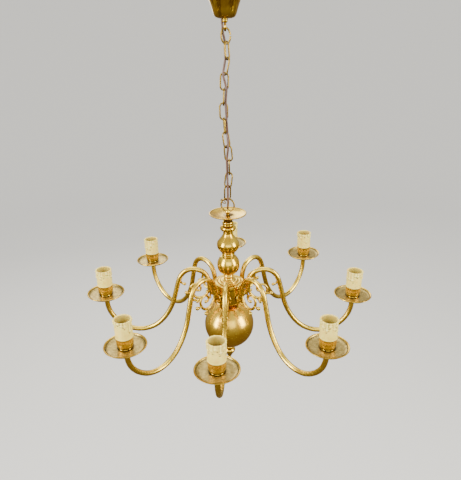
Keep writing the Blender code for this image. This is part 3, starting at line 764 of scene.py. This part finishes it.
def makeColumn():
    names = ("turned_knop", "turned_vase", "turned_ball", "turned_arm_plate")
    for name, (node, outline) in zip(names, columnOutlines.items()):
        piece = turnPiece(name, outlineOf(outline), 96, [turned], True, lampPlace, 30)
        fit(piece, "lamp", "polished_brass", node)
    disc = turnPiece("dished_top_disc", outlineOf(topDisc), 96, [satin], True, lampPlace, 30)
    # a dark groove inside the rim, dried polish with painted shade, and painted shade round the middle where
    # the disc meets the column and the eye
    marks = disc.data.attributes.new("polish_and_shade", "FLOAT", "POINT")
    for vertex, mark in zip(disc.data.vertices, marks.data):
        out = math.hypot(vertex.co.x, vertex.co.y) / mm
        groove = max(0.0, 1 - abs(out - discGroove))
        neck = min(1.0, max(0.0, (13.0 - out) / 4))
        mark.value = max(0.7 * groove, 0.8 * neck)
    cutFrom(disc, drill((0, lead["columnHole"], datum + eye["shoulder"]), up, 1.25 * lead["radius"], 16))
    fit(disc, "lamp", "satin_brass", "top_disc")


def makeEye():
    radius, stem, top = eye["radius"], eye["stem"], lead["eyeAbovePlate"]
    turns = [math.pi * 0.8 * i / 24 for i in range(25)]
    ball = [(radius * math.sin(a), top + radius * math.cos(a)) for a in turns]
    outline = [*ball, (stem, eye["shoulder"]), (stem, eye["foot"]), (0, eye["foot"])]
    piece = turnPiece("hanging_eye", outline, 48, [polished], place=lampPlace)
    across = ringFacts()[2]
    cutFrom(piece, drill((0, 0, datum + top), across, eye["hole"], 18))
    fit(piece, "lamp", "polished_brass", "eye")


makeColumn()
makeEye()


# the hub that holds the arms, with the globe and finial below it

hub = {
    "top": 1.3, "radius": 28.4, "height": 38.7, "neck": 13.0, "neckHeight": 5.6,
    "bore": 4.6, "boreDepth": 10, "rootHeight": -22,
}
globe = {"radius": 51.5, "wall": 1.2, "gap": 0.3, "finialBore": 23.7}
finial = (
    (7.5, 0.0, 1), (8.1, -0.9), (7.8, -2.0), (6.2, -4.6), (5.8, -6.2), (6.6, -8.2, 1), (7.6, -8.8),
    (10.8, -11.6), (12.3, -14.6), (11.9, -17.4), (9.8, -21.2), (7.4, -24.6), (5.6, -28.4, 1), (5.2, -29.4),
    (3.6, -31.8), (2.7, -33.4), (3.2, -35.4), (4.4, -38.0), (4.2, -40.2), (2.8, -42.2), (0.0, -43.1),
)


def armAngleAndLift(number):
    # which way an arm points, from its pan, and how far its end is tipped up, from its sleeve's joint
    low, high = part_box(f"pan_{number}")
    middle = (low + high) / 2
    angle = math.atan2(middle.y, middle.x)
    out = Vector((math.cos(angle), math.sin(angle), 0))
    axis = Vector(joints[f"sleeve_{number}_lift"]["axis"]).normalized()
    return angle, -math.asin(axis.dot(out))


def makeHub():
    top = hub["top"]
    foot = top - hub["height"]
    neckFoot = foot - hub["neckHeight"]
    radius, neck = hub["radius"], hub["neck"]
    groove = radius - 0.7
    outline = outlineOf([
        (rodBore, top, 1), (radius - 1.6, top, 1), (radius - 0.3, top - 0.7), (radius, top - 1.8),
        (radius, top - 4.0, 1), (groove, top - 4.4, 1), (groove, top - 5.2, 1), (radius, top - 5.6, 1),
        (radius, foot + 5.4, 1), (groove, foot + 5.0, 1), (groove, foot + 4.2, 1), (radius, foot + 3.8, 1),
        (radius, foot + 1.8), (radius - 1.6, foot, 1), (neck, foot, 1), (neck + 0.3, foot - 1.6),
        (neck - 1.2, foot - 3.4), (neck - 1.5, neckFoot, 1), (rodBore, neckFoot),
    ])
    drum = turnPiece("arm_hub", outline, 128, [turned], True, lampPlace, 30)
    for number in range(1, 9):
        angle = armAngleAndLift(number)[0]
        out = Vector((math.cos(angle), math.sin(angle), 0))
        place = out * (radius + 1) + up * (datum + hub["rootHeight"])
        cutFrom(drum, drill(place, out, hub["bore"], 2 * hub["boreDepth"]))
    fit(drum, "lamp", "polished_brass", "hub")


def makeGlobe():
    radius, gap = globe["radius"], globe["gap"]
    hollow = radius - globe["wall"]
    mouth = math.asin((rodBore + gap) / radius)
    centre = hub["top"] - hub["height"] - hub["neckHeight"] - gap - radius * math.cos(mouth)
    turns = [mouth + (math.pi - 2 * mouth) * i / 72 for i in range(73)]
    outside = [(radius * math.sin(a), centre + radius * math.cos(a)) for a in turns]
    inside = [(hollow * math.sin(a), centre + hollow * math.cos(a)) for a in reversed(turns[::3])]
    ball = turnPiece("spun_globe", outside + inside, 128, [satin], True, lampPlace)
    fit(ball, "lamp", "satin_brass", "globe")
    top = centre - radius * math.cos(mouth) - gap
    deepest = top - globe["finialBore"]
    bore = [(0, deepest, 1), (rodBore, deepest, 1), (rodBore, top, 1)]
    outline = outlineOf(bore + [(p[0], p[1] + top, *p[2:]) for p in finial])
    drop = turnPiece("turned_drop_finial", outline, 72, [turned], place=lampPlace, crisp=30)
    fit(drop, "lamp", "polished_brass", "drop_finial")


makeHub()
makeGlobe()
rodMesh = frame["nodes"]["rod"].data  # the rod is hidden inside the column, so the model's own one stays
rodMesh.materials.clear()
rodMesh.materials.append(zinc)
print("column made")


# the arms: bent tube, root flange, brazed scroll and twigs with buds

arm = {
    "reach": 253.75, "radius": 5.0, "spigot": 4.0, "spigotDepth": 8, "flange": 7.5, "flangeThick": 3.0,
    "flangeGap": 0.9, "scroll": 2.8, "curlBall": 3.3, "scrollJoin": 4.2, "twig": 2.1, "twigJoin": 3.2,
    "nipple": 4.0, "thread": 0.3,
}
armRoute = (
    (3.2, -22.0), (6.0, -20.8), (9.0, -15.4), (10.9, -6.0), (13.1, 8.0), (18.1, 20.0), (26.1, 28.0),
    (36.6, 32.0), (48.6, 32.4), (60.6, 27.4), (70.6, 15.5), (80.2, -16.0), (87.0, -41.0), (96.4, -62.5),
    (109.6, -82.0), (126.6, -97.5), (146.6, -106.0), (166.6, -107.4), (186.6, -101.4), (205.6, -87.0),
    (218.6, -69.0), (224.4, -50.0), (225.35, -25.0),
)
scrollRoute = (
    (11.2, -9.0), (14.6, -20.0), (21.6, -29.0), (30.6, -33.0), (40.6, -31.0), (48.2, -22.0), (50.6, -12.0),
    (47.0, -4.4), (39.2, -1.2), (32.2, -4.4), (29.2, -10.6), (32.0, -16.4), (36.6, -15.4),
)
twigRoutes = (
    ((48.6, -21.0), (53.6, -22.4), (58.6, -21.4)),
    ((30.6, -33.0), (34.0, -38.0), (37.0, -42.0)),
    ((8.2, -17.0), (10.0, -26.0), (11.0, -32.0)),
    ((72.6, 12.0), (67.6, 1.0), (62.6, -0.6)),
)
budRadii = (4.0, 3.6, 3.2, 3.4)
budOutline = (  # in shares of the bud's radius
    (0, 1.15), (0.42, 1.02), (0.86, 0.62), (1.0, 0.08), (0.84, -0.5), (0.5, -0.86, 1), (0.66, -1.0),
    (0.62, -1.2), (0.46, -1.3, 1), (0, -1.3),
)


def alongArm(route):
    return [Vector((hub["radius"] + x, 0, z)) for x, z in route]


def addBud(work, place, direction, radius):
    turn = Vector(direction).to_track_quat("Z", "Y").to_matrix().to_4x4()
    outline = outlineOf([(p[0] * radius, p[1] * radius, *p[2:]) for p in budOutline], 0.35)
    addTurned(work, outline, 24, place=Matrix.Translation(place * mm) @ turn)


def addBlob(work, place, radius):
    # a run of brazing metal where two pieces meet
    turns = [math.pi * i / 8 for i in range(9)]
    ball = [(radius * math.sin(a), radius * math.cos(a)) for a in turns]
    addTurned(work, ball, 14, place=Matrix.Translation(place * mm))


def armMesh():
    work = bmesh.new()
    addTube(work, smoothRoute(alongArm(armRoute), 3.0), arm["radius"], 24)
    outwards = Vector((1, 0, 0)).to_track_quat("Z", "Y").to_matrix().to_4x4()
    root = Matrix.Translation((0, 0, hub["rootHeight"] * mm)) @ outwards
    start = hub["radius"] + arm["flangeGap"]
    flange, end = arm["flange"], start + arm["flangeThick"]
    fillet = end + 1.2
    collar = outlineOf([
        (0, start, 1), (flange - 0.5, start, 1), (flange, start + 0.6), (flange, end - 1.0),
        (flange - 0.8, end - 0.1, 1), (arm["radius"] + 0.6, end), (arm["radius"] + 0.2, fillet), (0, fillet),
    ])
    addTurned(work, collar, 40, place=root)
    deepest = hub["radius"] - arm["spigotDepth"]
    spigot = [(0, deepest, 1), (arm["spigot"], deepest, 1), (arm["spigot"], start + 0.5, 1), (0, start + 0.5)]
    addTurned(work, outlineOf(spigot, 3), 24, place=root)
    seat = Matrix.Translation((arm["reach"] * mm, 0, 0))
    thread = [(arm["nipple"] - (arm["thread"] if i % 2 else 0), -30 + i * 0.5) for i in range(28)]
    addTurned(work, [(0, -30), *thread, (0, -16.5)], 24, place=seat)
    scroll = smoothRoute(alongArm(scrollRoute), 1.6)
    radii = [arm["scroll"] * (1.12 - 0.3 * i / len(scroll)) for i in range(len(scroll))]
    addTube(work, scroll, radii, 14)
    addBlob(work, scroll[-1], arm["curlBall"])  # the curl ends in a ball
    addBlob(work, scroll[1] - Vector((1.2, 0, 0)), arm["scrollJoin"])
    for route, radius in zip(twigRoutes, budRadii):
        twig = smoothRoute(alongArm(route), 1.5)
        taper = [arm["twig"] * (1.15 - 0.35 * i / len(twig)) for i in range(len(twig))]
        addTube(work, twig, taper, 12)
        addBud(work, twig[-1], twig[-1] - twig[-2], radius)
        addBlob(work, twig[0], arm["twigJoin"])
    return finishMesh("curved_arm", work, [drawn], 40)


# what stands on each arm: drip pan, cup, lampholder and sleeve

pan = {"radius": 37.5, "groove": 33.4, "lip": 34.6, "under": -24.6, "bore": 4.3}
cup = {"radius": 15.0, "top": -2.0, "floor": -18.6, "foot": -22.5}
holder = {
    "radius": 11.6, "bore": 7.0, "top": 19.0, "foot": -16.2, "floor": -5.6, "pitch": 2.8, "threadDepth": 0.28,
}
sleeve = {"radius": 15.5, "bore": 12.9, "top": 33.2, "foot": -1.7}


def panMesh():
    edge, under, bore = pan["radius"], pan["under"], pan["bore"]
    dish = outlineOf([
        (bore, -22.3, 1), (12.0, -22.4), (24.0, -22.7), (28.0, -22.7), (30.6, -22.2), (32.6, -21.2),
        (33.2, -20.9, 1), (33.5, -21.3, 1), (34.1, -21.0, 1), (34.3, -20.2), (35.2, -19.2), (36.0, -18.5),
        (edge - 0.8, -18.3), (edge - 0.2, -18.7), (edge, -19.4), (edge - 0.6, -20.1, 1), (35.4, -21.4),
        (32.4, -23.7), (28.0, -24.4), (16.0, under), (bore, under, 1),
    ], 0.8)
    work = bmesh.new()
    addTurned(work, dish, 96, True)
    mesh = finishMesh("drip_pan", work, [aged, cupBrass], 34)
    # a painted shadow round the foot of the cup, painted shade over the whole underside, and dried polish
    # with painted shade in the groove inside the lip
    marks = mesh.attributes.new("polish_and_shade", "FLOAT", "POINT")
    for vertex, mark in zip(mesh.vertices, marks.data):
        out = math.hypot(vertex.co.x, vertex.co.y) / mm
        groove = max(0.0, 1 - abs(out - pan["groove"]) / 0.8)
        ring = min(1.0, max(0.0, (cup["radius"] + 1 - out) / 2.5))
        isTop = vertex.co.z > -23.2 * mm
        mark.value = max(groove, 0.8 * ring) if isTop else 0.3
    for face in mesh.polygons:  # the lip is rubbed bright by handling
        out = math.hypot(face.center.x, face.center.y) / mm
        face.material_index = int(out > pan["lip"] and face.center.z > -20.0 * mm)
    return mesh


def cupMesh():
    radius, top, floor, foot, bore = cup["radius"], cup["top"], cup["floor"], cup["foot"], pan["bore"]
    outline = outlineOf([
        (bore, floor, 1), (radius - 3.4, floor), (radius - 1.9, floor + 3.6), (radius - 1.0, floor + 9),
        (radius - 0.9, top - 0.6), (radius - 0.5, top, 1), (radius, top - 0.3), (radius + 0.1, top - 1.2),
        (radius - 0.1, top - 2.0, 1), (radius, -9.0), (radius - 0.1, -13.0), (radius - 0.7, -17.0),
        (radius - 1.8, -20.0), (radius - 2.8, -21.5), (radius - 2.5, -22.1), (radius - 2.8, foot, 1),
        (bore, foot, 1),
    ])
    work = bmesh.new()
    addTurned(work, outline, 72, True)
    return finishMesh("candle_cup", work, [cupBrass], 34)


def holderMesh():
    # moulded body, threaded lamp shell and the sprung tongue at the bottom
    body, bore, top, foot, floor = (holder[key] for key in ("radius", "bore", "top", "foot", "floor"))
    waist = body - 0.5
    outline = outlineOf([
        (0, floor, 1), (bore + 0.7, floor, 1), (bore + 0.7, top - 1.2), (bore + 1.4, top - 0.2),
        (bore + 2.4, top), (body - 1.0, top - 0.6), (body, top - 2.4, 1), (waist, top - 3.0, 1),
        (waist, top - 9.0, 1), (body, top - 9.4, 1), (body, foot + 1.0), (body - 0.8, foot, 1), (0, foot),
    ], 1.2)
    work = bmesh.new()
    addTurned(work, outline, 48)
    shellIn = [(bore - 0.1, -4.8 + i * 0.35) for i in range(61)]
    shellOut = [(bore + 0.35, height) for radius, height in reversed(shellIn)]

    def rolledThread(angle, height, radius):
        return -holder["threadDepth"] * math.cos(2 * math.pi * height / holder["pitch"] - angle)

    addTurned(work, shellIn + shellOut, 40, True, swell=rolledThread, material=1)
    tongue = [(0, -2.6, 1), (2.2, -2.6, 1), (2.4, -3.2), (2.7, -4.6, 1), (3.4, -5.4, 1), (0, -5.4)]
    addTurned(work, outlineOf(tongue, 0.5), 24, material=1)
    return finishMesh("lamp_socket", work, [moulding, polished], 40)


def waxRuns(number):
    # where the wax has run (angle, stop, half width, thickness) and the hollows left between the runs
    draw = random.Random(40 + number)
    runs, hollows = [], []
    for i in range(15):
        angle = 2 * math.pi * (i + draw.uniform(-0.35, 0.35)) / 15
        stop = draw.choice((3.0, 5.5, 8.0, 11.0, 14.0, 18.0)) + draw.uniform(-1.0, 1.5)
        runs.append((angle, stop, draw.uniform(0.07, 0.13), draw.uniform(0.7, 1.2)))
        hollow = angle + draw.uniform(-0.08, 0.25), stop + draw.uniform(2.2, 5.0), draw.uniform(0.07, 0.12)
        hollows.append(hollow)

    def swell(angle, height, radius):
        if radius < sleeve["radius"] - 1.6:
            return 0.0
        down = sleeve["top"] - 1.0 - height
        pushed = 0.0
        for centre, stop, width, thick in runs:
            away = abs((angle - centre + math.pi) % (2 * math.pi) - math.pi)
            if away > 0.35 or down > stop + 1.6:
                continue
            bulb = math.exp(-((down - stop + 1.4) / 1.5) ** 2)
            fade = 1.0 if down < stop else math.sqrt(max(0.0, 1 - ((down - stop) / 1.6) ** 2))
            ridge = math.exp(-(away / (width * (1 + 0.6 * bulb))) ** 2)
            pushed = max(pushed, thick * ridge * (0.7 + 0.7 * bulb) * fade)
        for centre, place, width in hollows:
            away = abs((angle - centre + math.pi) % (2 * math.pi) - math.pi)
            pushed -= 0.5 * math.exp(-(away / width) ** 2 - ((down - place) / 1.1) ** 2)
        return pushed

    return swell


def makeSleeve(number, place):
    radius, bore, top, foot = sleeve["radius"], sleeve["bore"], sleeve["top"], sleeve["foot"]
    outside = []
    for i in range(76):
        height = top - 2.6 - (top - 2.6 - foot - 0.4) * i / 75
        flare = 0.5 * math.exp(-((height - foot) / 1.2) ** 2)  # the card is a little splayed at the foot
        outside.append((radius - 0.45 + flare, height))
    rim = outlineOf([
        (bore, top - 2.2), (bore + 0.2, top - 0.9), (bore + 1.2, top - 0.1), (radius - 1.0, top),
        (radius + 0.1, top - 0.5), (radius + 0.35, top - 1.4), (radius - 0.1, top - 2.3),
    ], 0.35)
    inside = [(bore, foot), (bore, foot + 6), (bore, top * 0.5), (bore, top - 4)]
    swell = waxRuns(number)
    work = bmesh.new()
    addTurned(work, [*rim, *outside, (radius - 0.2, foot), *inside], 144, True, swell=swell)
    piece = finishPiece(f"candle_sleeve_{number}", work, [card], place, 60)
    beside = ((0.1, 0), (-0.1, 0), (0, 1.3), (0, -1.3))
    marks = piece.data.attributes.new("wax", "FLOAT", "POINT")
    for vertex, mark in zip(piece.data.vertices, marks.data):
        x, y, z = vertex.co / mm
        out = math.hypot(x, y)
        if out > bore + 0.6:  # thick wax stays pale and run crests get a painted highlight; dust and painted shade go in the corners beside them
            angle = math.atan2(y, x)
            here = swell(angle, z, out)
            around = sum(swell(angle + turn, z + rise, out) for turn, rise in beside) / 4
            mark.value = 0.4 * here + 1.5 * (here - around)
        else:
            # the inside of the tube is painted a little darker: painted shade
            mark.value = -0.16
        if z < foot + 0.7:  # a dark line where the card stands on its cup: painted shade between the parts
            mark.value = -0.35
    fit(piece, f"sleeve_{number}", "candle_card", f"sleeve_{number}")


def makeArms():
    armShape, dish, cupShape, socket = armMesh(), panMesh(), cupMesh(), holderMesh()
    root = Matrix.Translation(Vector((hub["radius"], 0, hub["rootHeight"])) * mm)
    for number in range(1, 9):
        angle, lift = armAngleAndLift(number)
        lifted = root @ Matrix.Rotation(-lift, 4, "Y") @ root.inverted()
        place = lampPlace @ Matrix.Rotation(angle, 4, "Z") @ lifted
        seat = place @ Matrix.Translation((arm["reach"] * mm, 0, 0))
        fit(placePiece(f"curved_arm_{number}", armShape, place), "lamp", "polished_brass", f"arm_{number}")
        fit(placePiece(f"drip_pan_{number}", dish, seat), "lamp", "aged_brass", f"pan_{number}")
        fit(placePiece(f"candle_cup_{number}", cupShape, seat), "lamp", "polished_brass")
        lampSocket = placePiece(f"lamp_socket_{number}", socket, seat)
        fit(lampSocket, "lamp", "holder_plastic", f"lampholder_{number}")
        makeSleeve(number, seat)


makeArms()
print("arms, pans, sockets and sleeves made")


# floor, light and camera

studio = {
    "floorHeight": -1.9, "radius": 7.0, "sweep": 2.2, "top": 5.0, "paper": ("#DAD8D3", "#D5D3CE"),  # metres
    "roomLight": "#F6F6F4", "mirroredLow": "#746444", "mirroredHigh": "#D8D4CA", "roomStrength": 1.3,
    "heart": (0, 0, -0.62),  # what every light is turned to
}
softboxes = {  # place and size in metres, watts, colour
    "left_softbox": ((-1.7, -1.0, 0.0), (0.8, 1.5), 58, "#FFFDF6"),
    "right_softbox": ((1.9, -0.8, 0.0), (0.8, 1.5), 50, "#FFFBF0"),
    "top_softbox": ((0.0, 0.6, 1.6), (2.4, 1.6), 36, "#FFFFFF"),
    "front_softbox": ((0.2, -3.0, 0.6), (3.2, 1.8), 40, "#FFFCF2"),
    "back_softbox": ((-0.8, 2.6, 0.4), (1.6, 1.6), 30, "#FFFCF2"),
}
cameraFacts = {  # millimetres, metres and degrees
    "lens": 35.53, "sensor": 36, "place": (0.00474, -0.86225, -0.1216), "tilt": 67.35, "roll": -0.68,
}


def makeStudio():
    # matt background paper laid as a round floor that curves up all the way round: pale and even
    paper, tree, shader, place = startMaterial("matt_background_paper", {"Roughness": 0.85})
    fibre = patches(tree, place, 4.0, 2.0, 0.55, 0.3, 0.7)
    light, dark = (colour(tint) for tint in studio["paper"])
    base = addNode(tree, "Mix", {0: fibre, 6: light, 7: dark}, 2, data_type="RGBA")
    tree.links.new(base, shader.inputs["Base Color"])
    floor, radius, sweep = studio["floorHeight"], studio["radius"], studio["sweep"]
    bend = [math.pi / 2 * i / 16 for i in range(17)]
    side = [(0, floor)]
    side += [(radius - sweep + sweep * math.sin(a), floor + sweep - sweep * math.cos(a)) for a in bend]
    side.append((radius, studio["top"]))
    work = bmesh.new()
    rings = addTurned(work, [(out / mm, height / mm) for out, height in side], 96)
    lid = max(rings[-1][0].link_faces, key=lambda face: len(face.verts))
    bmesh.ops.delete(work, geom=[lid], context="FACES_ONLY")
    backdrop = finishPiece("studio_paper", work, [paper], crisp=80)
    backdrop.visible_glossy = False
    backdrop.visible_shadow = False
    backdrop.visible_diffuse = False


def makeLight():
    for name, (place, size, watts, tint) in softboxes.items():
        light = bpy.data.lights.new(name, "AREA")
        light.shape = "RECTANGLE"
        light.size, light.size_y = size
        light.energy = watts
        light.color = colour(tint)[:3]
        lamp = bpy.data.objects.new(name, light)
        bpy.context.scene.collection.objects.link(lamp)
        lamp.location = place
        lamp.rotation_euler = (Vector(studio["heart"]) - Vector(place)).to_track_quat("-Z", "Y").to_euler()
    world = bpy.data.worlds.new("soft_room")
    world.use_nodes = True
    tree = world.node_tree
    # polished metal mirrors a pale ceiling that falls off to a brown room; everything else is lit evenly
    above = addNode(tree, "TexCoord", {}, "Generated")
    height = addNode(tree, "SeparateXYZ", {"Vector": above}, "Z")
    height = addNode(tree, "MapRange", {"Value": height, "From Min": -0.5, "From Max": 0.7})
    low, high, even = (colour(studio[key]) for key in ("mirroredLow", "mirroredHigh", "roomLight"))
    room = addNode(tree, "Mix", {0: height, 6: low, 7: high}, 2, data_type="RGBA")
    mirrored = addNode(tree, "LightPath", {}, "Is Glossy Ray")
    light = addNode(tree, "Mix", {0: mirrored, 6: even, 7: room}, 2, data_type="RGBA")
    tree.links.new(light, tree.nodes["Background"].inputs["Color"])
    tree.nodes["Background"].inputs["Strength"].default_value = studio["roomStrength"]
    bpy.context.scene.world = world


def makeCamera():
    view = bpy.data.cameras.new("camera")
    view.sensor_fit = "AUTO"
    view.sensor_width = cameraFacts["sensor"]
    view.lens = cameraFacts["lens"]
    camera = bpy.data.objects.new("camera", view)
    bpy.context.scene.collection.objects.link(camera)
    tilt = Matrix.Rotation(math.radians(cameraFacts["tilt"]), 4, "X")
    roll = Matrix.Rotation(math.radians(cameraFacts["roll"]), 4, "Z")
    camera.matrix_world = Matrix.Translation(cameraFacts["place"]) @ tilt @ roll
    bpy.context.scene.camera = camera


makeStudio()
makeLight()
makeCamera()
print("studio made")
